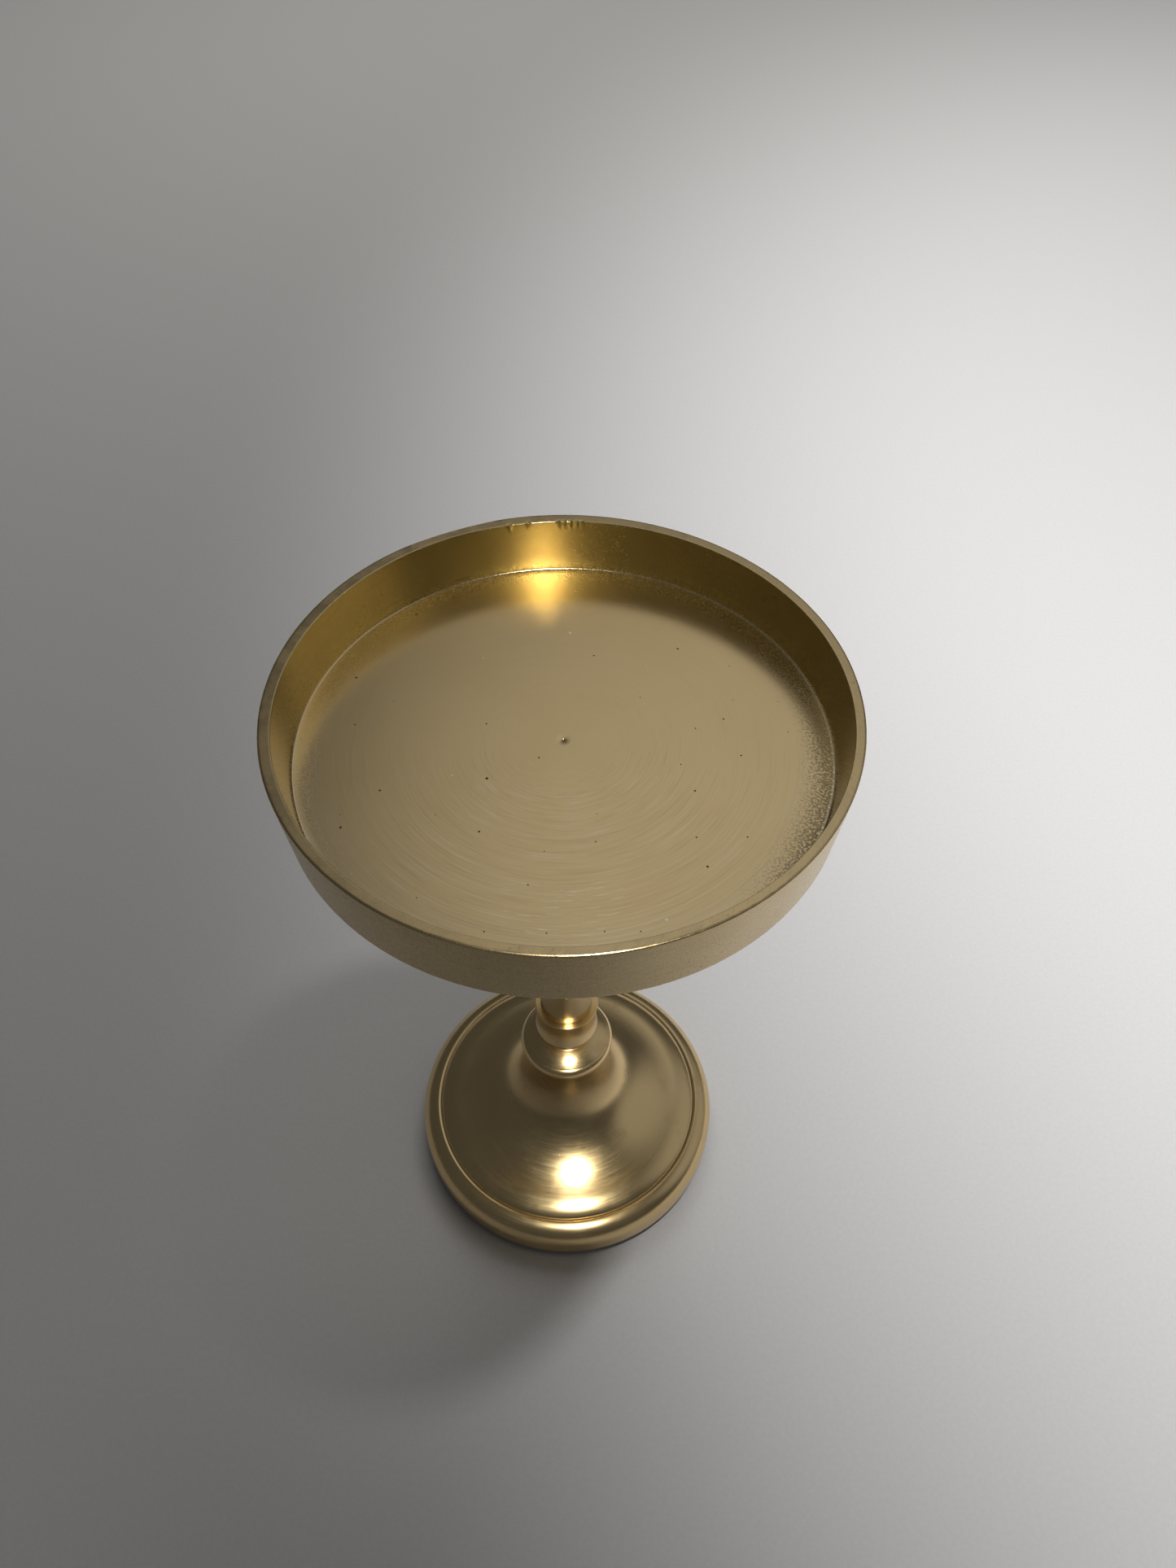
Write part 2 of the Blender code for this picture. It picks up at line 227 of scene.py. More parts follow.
def arc(centre, radii, start, end, steps):
    """Points along part of an ellipse, as (radius, height); the angles are in degrees."""
    angles = np.radians(np.linspace(start, end, steps + 1))
    radius = centre[0] + radii[0] * np.cos(angles)
    height = centre[1] + radii[1] * np.sin(angles)
    return list(zip(radius, height))


def straight(start, end, steps):
    """Points along a straight run, without its first point."""
    share = np.linspace(0, 1, steps + 1)[1:]
    radius = start[0] + (end[0] - start[0]) * share
    height = start[1] + (end[1] - start[1]) * share
    return list(zip(radius, height))


def flare(start, start_pull, end_pull, end, steps):
    """Points along a cubic Bezier curve."""
    t = np.linspace(0, 1, steps + 1)[:, None]
    controls = [np.array(point) for point in (start, start_pull, end_pull, end)]
    weights = ((1 - t) ** 3, 3 * t * (1 - t) ** 2, 3 * t * t * (1 - t), t ** 3)
    curve = sum(weight * control for weight, control in zip(weights, controls))
    return [tuple(point) for point in curve]


def bore(outline, top, bottom):
    """Close a ring's outline down the rod hole, with its edges slightly broken."""
    soft = 0.15 * MM
    wall = [(HOLE_RADIUS + soft, bottom), (HOLE_RADIUS, bottom + soft)]
    wall += straight(wall[-1], (HOLE_RADIUS, top - soft), 8)
    return outline + wall + [(HOLE_RADIUS + soft, top)]


def wobble(angle, seed, waves):
    """A smooth uneven value round the axis, about -1 to 1, the same in every run."""
    random = np.random.default_rng(seed)
    value = 0 * angle
    for wave in waves:
        value = value + random.uniform(0.5, 1.0) * np.sin(wave * angle + random.uniform(0, TAU))
    return value / len(waves)


def bump_at(angle, centre, spread):
    """A smooth bump round the axis: 1 at its centre and 0 well away from it."""
    away = (angle - centre + math.pi) % TAU - math.pi
    return np.exp(-(away / spread) ** 2)


# ---------------------------------------------------------------- turned meshes

def turned_mesh(name, outline, segments, shape=None, ring=False, zone=None):
    """Turn an outline about Z.

    Shape may move the (radius, height, angle) grid first. Zone gives each face's
    material number from its radius and height.
    """
    radius, height = (np.array(column)[:, None] for column in zip(*outline))
    angle = np.linspace(0, TAU, segments, endpoint=False)[None, :]
    radius = radius + 0 * angle
    height = height + 0 * angle
    if shape:
        radius, height = shape(radius, height, angle + 0 * radius)
    rows = radius.shape[0]
    points = np.stack([radius * np.cos(angle), radius * np.sin(angle), height], -1)
    closed_top = not ring and outline[0][0] == 0
    closed_bottom = not ring and outline[-1][0] == 0
    first = 1 if closed_top else 0
    last = rows - 1 if closed_bottom else rows
    verts = points[first:last].reshape(-1, 3).tolist()
    kept = last - first
    here = np.arange(segments)
    beside = (here + 1) % segments
    faces = []
    spans = range(kept) if ring else range(kept - 1)
    for row in spans:
        below = (row + 1) % kept
        quads = np.stack([row * segments + here, below * segments + here,
                          below * segments + beside, row * segments + beside], -1)
        faces += quads.tolist()
    if closed_top:
        verts.append([0, 0, float(height[0].mean())])
        faces += [[len(verts) - 1, int(a), int(b)] for a, b in zip(here, beside)]
    if closed_bottom:
        verts.append([0, 0, float(height[-1].mean())])
        base = (kept - 1) * segments
        faces += [[len(verts) - 1, base + int(b), base + int(a)] for a, b in zip(here, beside)]
    mesh = bpy.data.meshes.new(name)
    mesh.from_pydata(verts, [], faces)
    mesh.shade_smooth()
    mesh.set_sharp_from_angle(angle=SMOOTH_ANGLE)
    if zone:
        for face in mesh.polygons:
            x, y, z = face.center
            face.material_index = zone(math.hypot(x, y), z)
    return mesh


def add_piece(name, mesh, materials, node):
    """Put a finished piece in the scene in place of a CAD node."""
    for material in materials:
        mesh.materials.append(material)
    piece = bpy.data.objects.new(name, mesh)
    bpy.context.scene.collection.objects.link(piece)
    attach(piece, "root")
    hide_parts(node)
    return piece


# ---------------------------------------------------------------- shading helpers

class Shading:
    """A material's node tree, with short calls to add and join its nodes."""

    def __init__(self, name):
        self.material = bpy.data.materials.new(name)
        self.material.use_nodes = True
        self.tree = self.material.node_tree
        self.tree.nodes.clear()

    def join(self, socket, value):
        """Give an input a number, a colour or another node's socket."""
        if isinstance(value, bpy.types.NodeSocket):
            self.tree.links.new(value, socket)
        elif isinstance(value, tuple) and socket.type == "RGBA" and len(value) == 3:
            socket.default_value = (*value, 1.0)
        else:
            socket.default_value = value

    def add(self, kind, settings=None, **inputs):
        """Add a node and join its named inputs."""
        made = self.tree.nodes.new(kind)
        for key, value in (settings or {}).items():
            setattr(made, key, value)
        for key, value in inputs.items():
            self.join(made.inputs[key.replace("_", " ")], value)
        return made

    def math(self, operation, *values, clamp=False):
        """Return a Math node's result."""
        made = self.add("ShaderNodeMath", {"operation": operation, "use_clamp": clamp})
        for index, value in enumerate(values):
            self.join(made.inputs[index], value)
        return made.outputs[0]

    def ramp(self, value, low, high, start=0.0, end=1.0):
        """Return value mapped smoothly from low..high to start..end."""
        settings = {"interpolation_type": "SMOOTHSTEP"}
        made = self.add("ShaderNodeMapRange", settings, Value=value, From_Min=low, From_Max=high,
                        To_Min=start, To_Max=end)
        return made.outputs[0]

    def band(self, value, centre, half, edge):
        """Return 1 within half of centre, falling to 0 over edge."""
        away = self.math("ABSOLUTE", self.math("SUBTRACT", value, centre))
        return self.ramp(away, half, half + edge, 1.0, 0.0)

    def mix(self, share, first, second):
        """Return a colour between two colours."""
        made = self.add("ShaderNodeMix", {"data_type": "RGBA"})
        for index, value in ((0, share), (6, first), (7, second)):
            self.join(made.inputs[index], value)
        return made.outputs[2]

    def noise(self, vector, scale, detail=2.0, roughness=0.5, w=None):
        """Return a noise texture's value, in four dimensions if w is given."""
        settings = {"noise_dimensions": "4D" if w is not None else "3D"}
        inputs = {"Vector": vector, "Scale": scale, "Detail": detail, "Roughness": roughness}
        if w is not None:
            inputs["W"] = w
        return self.add("ShaderNodeTexNoise", settings, **inputs).outputs[0]

    def vector(self, x, y, z=0.0):
        """Return a vector from three values."""
        return self.add("ShaderNodeCombineXYZ", None, X=x, Y=y, Z=z).outputs[0]


class Turned(Shading):
    """A material for turned metal, with its coordinates about the Z axis."""

    def __init__(self, name):
        super().__init__(name)
        self.place = self.add("ShaderNodeTexCoord").outputs["Object"]
        split = self.add("ShaderNodeSeparateXYZ", None, Vector=self.place)
        self.x, self.y, self.height = split.outputs
        square = self.math("MULTIPLY_ADD", self.x, self.x, self.math("MULTIPLY", self.y, self.y))
        self.radius = self.math("SQRT", square)
        safe = self.math("MAXIMUM", self.radius, 1e-5)
        self.cosine = self.math("DIVIDE", self.x, safe)
        self.sine = self.math("DIVIDE", self.y, safe)
        self.angle = self.math("ARCTAN2", self.y, self.x)

    def ring_noise(self, fineness, breaks, detail=2.0, seed=0.0):
        """Noise drawn out round the axis: fine across the lines, long along them."""
        across = self.math("MULTIPLY", self.radius, fineness)
        vector = self.vector(across, self.math("MULTIPLY", self.cosine, breaks),
                             self.math("MULTIPLY", self.sine, breaks))
        level = self.math("MULTIPLY_ADD", self.height, fineness, seed)
        return self.noise(vector, 1.0, detail, 0.6, w=level)

    def facing(self, degrees, low, high):
        """Return 1 near a direction round the axis and 0 away from it."""
        turn = math.radians(degrees)
        across = self.math("MULTIPLY", self.cosine, math.cos(turn))
        toward = self.math("MULTIPLY_ADD", self.sine, math.sin(turn), across)
        return self.ramp(toward, low, high)

    def dots(self, u, v, spacing, size, chance, seed):
        """Return a mask of small round marks scattered over a surface."""
        scale = 1.0 / spacing
        vector = self.vector(self.math("MULTIPLY_ADD", u, scale, seed), self.math("MULTIPLY", v, scale))
        cells = self.add("ShaderNodeTexVoronoi", {"voronoi_dimensions": "2D"}, Vector=vector, Scale=1.0)
        pick = self.add("ShaderNodeSeparateXYZ", None, Vector=cells.outputs["Color"]).outputs
        reach = self.math("MULTIPLY_ADD", pick[1], size * scale * 0.8, size * scale * 0.35)
        inside = self.math("LESS_THAN", cells.outputs["Distance"], reach)
        chosen = self.math("LESS_THAN", pick[0], chance)
        return self.math("MULTIPLY", inside, chosen)

    def finish(self, base, rough, relief, depth, anisotropy):
        """End the material as metal whose highlights stretch across the lathe lines."""
        bump = self.add("ShaderNodeBump", None, Strength=1.0, Distance=depth, Height=relief)
        tangent = self.add("ShaderNodeTangent", {"direction_type": "RADIAL", "axis": "Z"})
        surface = self.add("ShaderNodeBsdfPrincipled", None, Base_Color=base, Metallic=1.0,
                           Roughness=rough, Anisotropic=anisotropy, Anisotropic_Rotation=0.25,
                           Normal=bump.outputs[0], Tangent=tangent.outputs[0])
        self.add("ShaderNodeOutputMaterial", None, Surface=surface.outputs[0])
        return self.material


# ---------------------------------------------------------------- materials

def dish_floor_brass(floor_edge):
    """The dish's floor: fine concentric brushing, small pits, a dusty edge and patina, with painted glints on
    its streaks and scratches towards the front.
    """
    metal = Turned("dish_floor_brass")
    fine = metal.ring_noise(5200.0, 5.0, 3.0)
    streaks = metal.ring_noise(2900.0, 2.4, 3.0, 4.1)
    # Painted glints: the streaks are made stronger towards the front, painting there the glints the lamp
    # draws on the brushing.
    front = metal.facing(-88, -0.3, 0.95)
    streaks = metal.math("MULTIPLY_ADD", metal.math("SUBTRACT", streaks, 0.5),
                         metal.math("MULTIPLY_ADD", front, 0.7, 0.4), 0.5)
    tool_marks = metal.ring_noise(420.0, 1.1, 2.0, 7.3)
    grain = metal.noise(metal.place, 3400.0, 3.0, 0.65)
    haze = metal.noise(metal.place, 55.0, 3.0, 0.5)

    edge = metal.ramp(metal.radius, floor_edge - 9 * MM, floor_edge - 1 * MM)
    middle = metal.ramp(metal.radius, 4 * MM, 16 * MM)
    junction = metal.band(metal.radius, floor_edge - 0.1 * MM, 0.12 * MM, 0.2 * MM)
    dust = metal.math("MULTIPLY", edge, metal.ramp(grain, 0.42, 0.66))
    outer_right = metal.ramp(metal.radius, 39 * MM, 46.5 * MM)
    corner = metal.math("MULTIPLY", metal.facing(-14, 0.72, 0.98), outer_right)
    mottle = metal.math("MULTIPLY_ADD", corner, 0.14, metal.noise(metal.place, 2300.0, 3.0, 0.6))
    mottle = metal.ramp(mottle, 0.54, 0.64)
    stained = metal.math("MULTIPLY", corner, mottle)
    pits = metal.dots(metal.x, metal.y, 8.5 * MM, 0.21 * MM, 0.45, 3.7)
    centre = metal.ramp(metal.radius, 0.14 * MM, 0.30 * MM, 1.0, 0.0)
    pits = metal.math("MAXIMUM", pits, centre)
    flecks = metal.dots(metal.x, metal.y, 16 * MM, 0.32 * MM, 0.30, 11.2)
    # Front scratches: real in the relief, but their bright colour is a painted glint.
    scratch_and_glint_zone = metal.math("MULTIPLY", metal.facing(-90, 0.93, 0.995),
                              metal.band(metal.radius, 36 * MM, 4 * MM, 5 * MM))
    scratches = metal.ramp(metal.ring_noise(4600.0, 9.0, 1.0, 2.2), 0.60, 0.68)
    scratches = metal.math("MULTIPLY", scratches, scratch_and_glint_zone)

    base = metal.mix(metal.ramp(haze, 0.35, 0.7, 0.0, 0.3), BRASS, BRASS_WORN)
    lined = metal.math("MULTIPLY", middle, metal.ramp(streaks, 0.50, 0.70, 0.0, 0.30))
    base = metal.mix(lined, base, BRASS_LINE)
    pale = metal.math("MULTIPLY", middle, metal.ramp(streaks, 0.30, 0.47, 0.38, 0.0))
    base = metal.mix(pale, base, BRASS_PALE)
    base = metal.mix(metal.ramp(fine, 0.5, 0.8, 0.0, 0.15), base, BRASS_PALE)
    base = metal.mix(metal.math("MULTIPLY", dust, 0.42), base, BRASS_DUST)
    base = metal.mix(metal.math("MULTIPLY", stained, 0.45), base, PATINA)
    base = metal.mix(metal.math("MULTIPLY", junction, 0.7), base, BRASS_PALE)
    base = metal.mix(metal.math("MULTIPLY", flecks, 0.7), base, BRASS_FLECK)
    base = metal.mix(metal.math("MULTIPLY", scratches, 0.8), base, BRASS_SCRATCH_GLINT)
    base = metal.mix(metal.math("MULTIPLY", pits, 0.9), base, PIT)

    rough = metal.ramp(fine, 0.25, 0.75, 0.165, 0.21)
    rough = metal.math("MULTIPLY_ADD", dust, 0.12, rough)
    rough = metal.math("MULTIPLY_ADD", stained, 0.25, rough)
    rough = metal.math("MULTIPLY_ADD", pits, 0.3, rough, clamp=True)

    relief = metal.math("MULTIPLY", fine, 0.25)
    relief = metal.math("MULTIPLY_ADD", metal.math("MULTIPLY", streaks, middle), 0.35, relief)
    relief = metal.math("MULTIPLY_ADD", tool_marks, 0.6, relief)
    relief = metal.math("MULTIPLY_ADD", metal.math("MULTIPLY", grain, edge), 0.35, relief)
    relief = metal.math("MULTIPLY_ADD", pits, -1.2, relief)
    relief = metal.math("MULTIPLY_ADD", flecks, 1.0, relief)
    relief = metal.math("MULTIPLY_ADD", scratches, 1.5, relief)
    return metal.finish(base, rough, relief, DISH_FLOOR_RELIEF, 0.45)


def dish_wall_brass(name, tone, worn, roughness):
    """One of the dish's walls: satin, with lines round it and a fine dark-specked skin."""
    metal = Turned(name)
    lines = metal.ring_noise(2600.0, 5.0, 3.0)
    bands = metal.ring_noise(600.0, 1.6, 2.0, 5.2)
    grain = metal.noise(metal.place, 4800.0, 3.0, 0.65)
    cloud = metal.noise(metal.place, 90.0, 3.0, 0.5)
    around = metal.math("MULTIPLY", metal.angle, WALL_RADIUS)
    pits = metal.dots(around, metal.height, 5.0 * MM, 0.16 * MM, 0.40, 5.3)
    speck_zone = metal.ramp(metal.noise(metal.place, 60.0, 2.0, 0.5), 0.52, 0.62)
    specks = metal.math("GREATER_THAN", metal.noise(metal.place, 2300.0, 1.0, 0.4), 0.70)
    specks = metal.math("MULTIPLY", specks, speck_zone)

    base = metal.mix(metal.ramp(cloud, 0.35, 0.7, 0.0, 0.6), tone, worn)
    lined = tuple(0.68 * channel for channel in tone)
    base = metal.mix(metal.ramp(lines, 0.45, 0.75, 0.0, 0.35), base, lined)
    base = metal.mix(metal.math("MULTIPLY", metal.math("MAXIMUM", specks, pits), 0.7), base, PATINA)
    rough = metal.ramp(grain, 0.3, 0.7, roughness, roughness + 0.07)
    rough = metal.math("MULTIPLY_ADD", specks, 0.2, rough, clamp=True)
    relief = metal.math("MULTIPLY", lines, 0.5)
    relief = metal.math("MULTIPLY_ADD", bands, 0.6, relief)
    relief = metal.math("MULTIPLY_ADD", grain, 0.35, relief)
    relief = metal.math("MULTIPLY_ADD", pits, -1.0, relief)
    return metal.finish(base, rough, relief, DISH_WALL_RELIEF, 0.35)


def dish_rim_brass():
    """The flat of the rim, with the marks of a file drawn aslant across it."""
    metal = Turned("dish_rim_brass")
    around = metal.math("MULTIPLY", metal.angle, WALL_RADIUS)
    across = metal.math("ADD", around, metal.radius)
    along = metal.math("SUBTRACT", around, metal.radius)
    vector = metal.vector(metal.math("MULTIPLY", across, 2600.0), metal.math("MULTIPLY", along, 260.0),
                          metal.math("MULTIPLY", metal.height, 1500.0))
    file_marks = metal.noise(vector, 1.0, 3.0, 0.6)
    lines = metal.ring_noise(3000.0, 6.0, 2.0, 2.4)
    filed = metal.facing(-125, 0.2, 0.9)
    wear = metal.noise(metal.place, 220.0, 4.0, 0.6)
    chips = metal.math("GREATER_THAN", metal.noise(metal.place, 1500.0, 2.0, 0.6), 0.68)

    # Painted shade and wear: the rim runs between the darker shaded copy and full brass by a wear pattern.
    base = metal.mix(metal.ramp(wear, 0.3, 0.6, 0.3, 0.9), BRASS_SHADED, BRASS)
    base = metal.mix(metal.ramp(file_marks, 0.5, 0.75, 0.0, 0.35), base, BRASS_FILED)
    base = metal.mix(metal.math("MULTIPLY", chips, 0.25), base, PATINA)
    rough = metal.ramp(wear, 0.3, 0.7, 0.22, 0.32)
    relief = metal.math("MULTIPLY", metal.math("MULTIPLY", file_marks, filed), 1.2)
    relief = metal.math("MULTIPLY_ADD", lines, 0.5, relief)
    relief = metal.math("MULTIPLY_ADD", chips, -0.6, relief)
    return metal.finish(base, rough, relief, RIM_RELIEF, 0.3)


def base_brass(name, tone, worn, neck_shade):
    """The collars, column, bead and bell: satin, faintly lined and stained, with painted shade darkening the
    bell's neck.
    """
    metal = Turned(name)
    lines = metal.ring_noise(2400.0, 3.5, 3.0)
    bands = metal.ring_noise(500.0, 1.2, 2.0, 9.1)
    grain = metal.noise(metal.place, 3600.0, 2.0, 0.6)
    cloud = metal.noise(metal.place, 45.0, 3.0, 0.5)
    stain = metal.noise(metal.place, 130.0, 4.0, 0.6)
    around = metal.math("MULTIPLY", metal.angle, PIT_RADIUS)
    run = metal.math("SUBTRACT", metal.height, metal.radius)
    pits = metal.dots(around, run, 6.0 * MM, 0.12 * MM, 0.25, 8.8)
    # The groove above the foot is darkened: partly grime, partly painted shade in the crease.
    crease = metal.band(metal.radius, GROOVE[0], 0.10 * MM, 0.35 * MM)
    low = metal.band(metal.height, GROOVE[1], 0.15 * MM, 0.35 * MM)
    groove_grime_and_shade = metal.math("MULTIPLY", crease, low)

    base = metal.mix(metal.ramp(cloud, 0.35, 0.7, 0.0, 0.5), tone, worn)
    base = metal.mix(metal.ramp(stain, 0.56, 0.72, 0.0, 0.45), base, BRASS_STAIN)
    # Painted shade: the bell's neck is darkened so it does not mirror the bright floor.
    base = metal.mix(metal.ramp(metal.radius, 10 * MM, 16 * MM, neck_shade, 0.0), base, BRASS_NECK_PAINTED_SHADE)
    base = metal.mix(metal.ramp(lines, 0.5, 0.8, 0.0, 0.18), base, BRASS_PALE)
    base = metal.mix(metal.math("MULTIPLY", groove_grime_and_shade, 0.75), base, PATINA)
    base = metal.mix(metal.math("MULTIPLY", pits, 0.7), base, PATINA)
    rough = metal.ramp(lines, 0.25, 0.75, 0.20, 0.25)
    rough = metal.math("MULTIPLY_ADD", metal.ramp(stain, 0.45, 0.75), 0.05, rough)
    rough = metal.math("MULTIPLY_ADD", groove_grime_and_shade, 0.3, rough, clamp=True)
    relief = metal.math("MULTIPLY", lines, 0.4)
    relief = metal.math("MULTIPLY_ADD", bands, 0.6, relief)
    relief = metal.math("MULTIPLY_ADD", grain, 0.15, relief)
    relief = metal.math("MULTIPLY_ADD", pits, -0.8, relief)
    return metal.finish(base, rough, relief, BASE_RELIEF, 0.35)


def cast_brass():
    """The unpolished casting inside the bell and under the dish's boss."""
    metal = Turned("cast_brass")
    sand = metal.noise(metal.place, 1400.0, 5.0, 0.65)
    cloud = metal.noise(metal.place, 160.0, 4.0, 0.6)
    base = metal.mix(metal.ramp(cloud, 0.35, 0.7), CAST_LIGHT, CAST_DARK)
    base = metal.mix(metal.ramp(sand, 0.6, 0.75, 0.0, 0.5), base, PATINA)
    rough = metal.ramp(sand, 0.3, 0.7, 0.45, 0.62)
    return metal.finish(base, rough, sand, CAST_RELIEF, 0.0)


def zinc_plate():
    """Zinc-plated steel: bluish grey, with a crystal-like patchiness and fine scratches."""
    metal = Turned("zinc_plate")
    lines = metal.ring_noise(3000.0, 6.0, 3.0)
    patches = metal.add("ShaderNodeTexVoronoi", None, Vector=metal.place, Scale=900.0)
    tint = metal.noise(metal.place, 300.0, 4.0, 0.6)
    base = metal.mix(metal.ramp(tint, 0.35, 0.7), ZINC, ZINC_DULL)
    base = metal.mix(metal.ramp(tint, 0.62, 0.75, 0.0, 0.4), base, ZINC_YELLOW)
    rough = metal.ramp(patches.outputs["Distance"], 0.0, 0.8, 0.26, 0.40)
    relief = metal.math("MULTIPLY_ADD", lines, 0.6, metal.math("MULTIPLY", tint, 0.5))
    return metal.finish(base, rough, relief, ZINC_RELIEF, 0.3)


def grey_card():
    """Plain grey board, with flecks of recycled fibre."""
    card = Shading("grey_card")
    place = card.add("ShaderNodeTexCoord").outputs["Object"]
    fibre = card.noise(place, 1600.0, 5.0, 0.7)
    fleck = card.ramp(card.noise(place, 2600.0, 2.0, 0.5), 0.66, 0.72)
    base = card.mix(card.ramp(fibre, 0.3, 0.7), CARD_DARK, CARD_LIGHT)
    base = card.mix(card.math("MULTIPLY", fleck, 0.6), base, CARD_FLECK)
    bump = card.add("ShaderNodeBump", None, Strength=1.0, Distance=CARD_RELIEF, Height=fibre)
    surface = card.add("ShaderNodeBsdfPrincipled", None, Base_Color=base, Roughness=0.92,
                       Specular_IOR_Level=0.2, Normal=bump.outputs[0])
    card.add("ShaderNodeOutputMaterial", None, Surface=surface.outputs[0])
    return card.material


def dark_felt():
    """Pressed felt: matted dark fibres with paler lint and a soft sheen."""
    felt = Shading("dark_felt")
    place = felt.add("ShaderNodeTexCoord").outputs["Object"]
    bend = felt.add("ShaderNodeTexNoise", None, Vector=place, Scale=500.0, Detail=2.0)
    pushed = felt.add("ShaderNodeVectorMath", {"operation": "SCALE"}, Vector=bend.outputs["Color"],
                      Scale=2.2 * MM).outputs[0]
    bent = felt.add("ShaderNodeVectorMath", {"operation": "ADD"}).outputs[0]
    felt.join(bent.node.inputs[0], place)
    felt.join(bent.node.inputs[1], pushed)
    strands = felt.noise(bent, 2200.0, 4.0, 0.7)
    matting = felt.noise(place, 350.0, 3.0, 0.6)
    lint = felt.ramp(felt.noise(bent, 4200.0, 2.0, 0.5), 0.66, 0.74)
    base = felt.mix(felt.ramp(strands, 0.3, 0.7), FELT_DARK, FELT_LIGHT)
    base = felt.mix(felt.ramp(matting, 0.4, 0.7, 0.0, 0.5), base, FELT_MATTED)
    base = felt.mix(felt.math("MULTIPLY", lint, 0.6), base, FELT_LINT)
    height = felt.math("MULTIPLY_ADD", matting, 0.6, strands)
    bump = felt.add("ShaderNodeBump", None, Strength=1.0, Distance=FELT_RELIEF, Height=height)
    surface = felt.add("ShaderNodeBsdfPrincipled", None, Base_Color=base, Roughness=0.95,
                       Specular_IOR_Level=0.15, Sheen_Weight=0.5, Sheen_Roughness=0.5,
                       Normal=bump.outputs[0])
    felt.add("ShaderNodeOutputMaterial", None, Surface=surface.outputs[0])
    return felt.material


# ---------------------------------------------------------------- camera, floor and light

def add_camera(rim_height):
    """Stand the camera in front of the dish, looking down at it."""
    look = Vector((0, math.cos(CAMERA_PITCH), -math.sin(CAMERA_PITCH)))
    right = Vector((1, 0, 0))
    up = Vector((0, math.sin(CAMERA_PITCH), math.cos(CAMERA_PITCH)))
    look_yawed = math.cos(CAMERA_YAW) * look + math.sin(CAMERA_YAW) * right
    right_yawed = math.cos(CAMERA_YAW) * right - math.sin(CAMERA_YAW) * look
    right_rolled = math.cos(CAMERA_ROLL) * right_yawed + math.sin(CAMERA_ROLL) * up
    up_rolled = math.cos(CAMERA_ROLL) * up - math.sin(CAMERA_ROLL) * right_yawed
    data = bpy.data.cameras.new("camera")
    data.lens = LENS_MM
    data.sensor_width = SENSOR_MM
    data.clip_start = 0.005
    data.clip_end = 50
    camera = bpy.data.objects.new("camera", data)
    turn = Matrix((right_rolled, up_rolled, -look_yawed)).transposed().to_4x4()
    place = Vector((0, -CAMERA_DISTANCE, rim_height + CAMERA_ABOVE_RIM))
    camera.matrix_world = Matrix.Translation(place) @ turn
    bpy.context.scene.collection.objects.link(camera)
    bpy.context.scene.camera = camera


def add_floor():
    """A plain pale surface to stand on."""
    half = FLOOR_HALF_SIZE
    mesh = bpy.data.meshes.new("floor")
    corners = [(-half, -half, 0), (half, -half, 0), (half, half, 0), (-half, half, 0)]
    mesh.from_pydata(corners, [], [(0, 1, 2, 3)])
    paper = Shading("floor_paper")
    place = paper.add("ShaderNodeTexCoord").outputs["Object"]
    fibre = paper.noise(place, 900.0, 4.0, 0.6)
    tone = paper.mix(paper.ramp(fibre, 0.3, 0.7), PAPER_DARK, PAPER_LIGHT)
    bump = paper.add("ShaderNodeBump", None, Strength=0.3, Distance=PAPER_RELIEF, Height=fibre)
    surface = paper.add("ShaderNodeBsdfPrincipled", None, Base_Color=tone, Roughness=0.85,
                        Specular_IOR_Level=0.2, Normal=bump.outputs[0])
    paper.add("ShaderNodeOutputMaterial", None, Surface=surface.outputs[0])
    mesh.materials.append(paper.material)
    floor = bpy.data.objects.new("floor", mesh)
    bpy.context.scene.collection.objects.link(floor)


def add_light(name, kind, place, aim, power, colour):
    """A light aimed at a point."""
    data = bpy.data.lights.new(name, kind)
    data.energy = power
    data.color = colour
    light = bpy.data.objects.new(name, data)
    light.location = place
    direction = Vector(aim) - Vector(place)
    light.rotation_euler = direction.to_track_quat("-Z", "Y").to_euler()
    light.visible_camera = False
    bpy.context.scene.collection.objects.link(light)
    return light


def add_paper_light(name, place, aim, power, angle, blend):
    """A soft round pool of light on the paper; the metal itself does not mirror the lamp."""
    light = add_light(name, "SPOT", place, aim, power, KEY_COLOUR)
    light.data.shadow_soft_size = KEY_RADIUS
    light.data.spot_size = angle
    light.data.spot_blend = blend
    light.visible_glossy = False


def add_room_glow():
    """A dim room with two broad soft glows: one above and behind, one to the right."""
    world = bpy.data.worlds.new("studio")
    world.use_nodes = True
    tree = world.node_tree
    coordinates = tree.nodes.new("ShaderNodeTexCoord")
    level = GLOW_LEVEL
    for direction, edge, middle, strength in GLOWS:
        toward = tree.nodes.new("ShaderNodeVectorMath")
        toward.operation = "DOT_PRODUCT"
        toward.inputs[1].default_value = Vector(direction).normalized()
        tree.links.new(coordinates.outputs["Generated"], toward.inputs[0])
        glow = tree.nodes.new("ShaderNodeMapRange")
        glow.interpolation_type = "SMOOTHSTEP"
        tree.links.new(toward.outputs["Value"], glow.inputs["Value"])
        glow.inputs["From Min"].default_value = edge
        glow.inputs["From Max"].default_value = middle
        glow.inputs["To Max"].default_value = strength
        total = tree.nodes.new("ShaderNodeMath")
        tree.links.new(glow.outputs["Result"], total.inputs[0])
        if isinstance(level, float):
            total.inputs[1].default_value = level
        else:
            tree.links.new(level, total.inputs[1])
        level = total.outputs[0]
    background = tree.nodes["Background"]
    background.inputs["Color"].default_value = WORLD_COLOUR
    tree.links.new(level, background.inputs["Strength"])
    bpy.context.scene.world = world


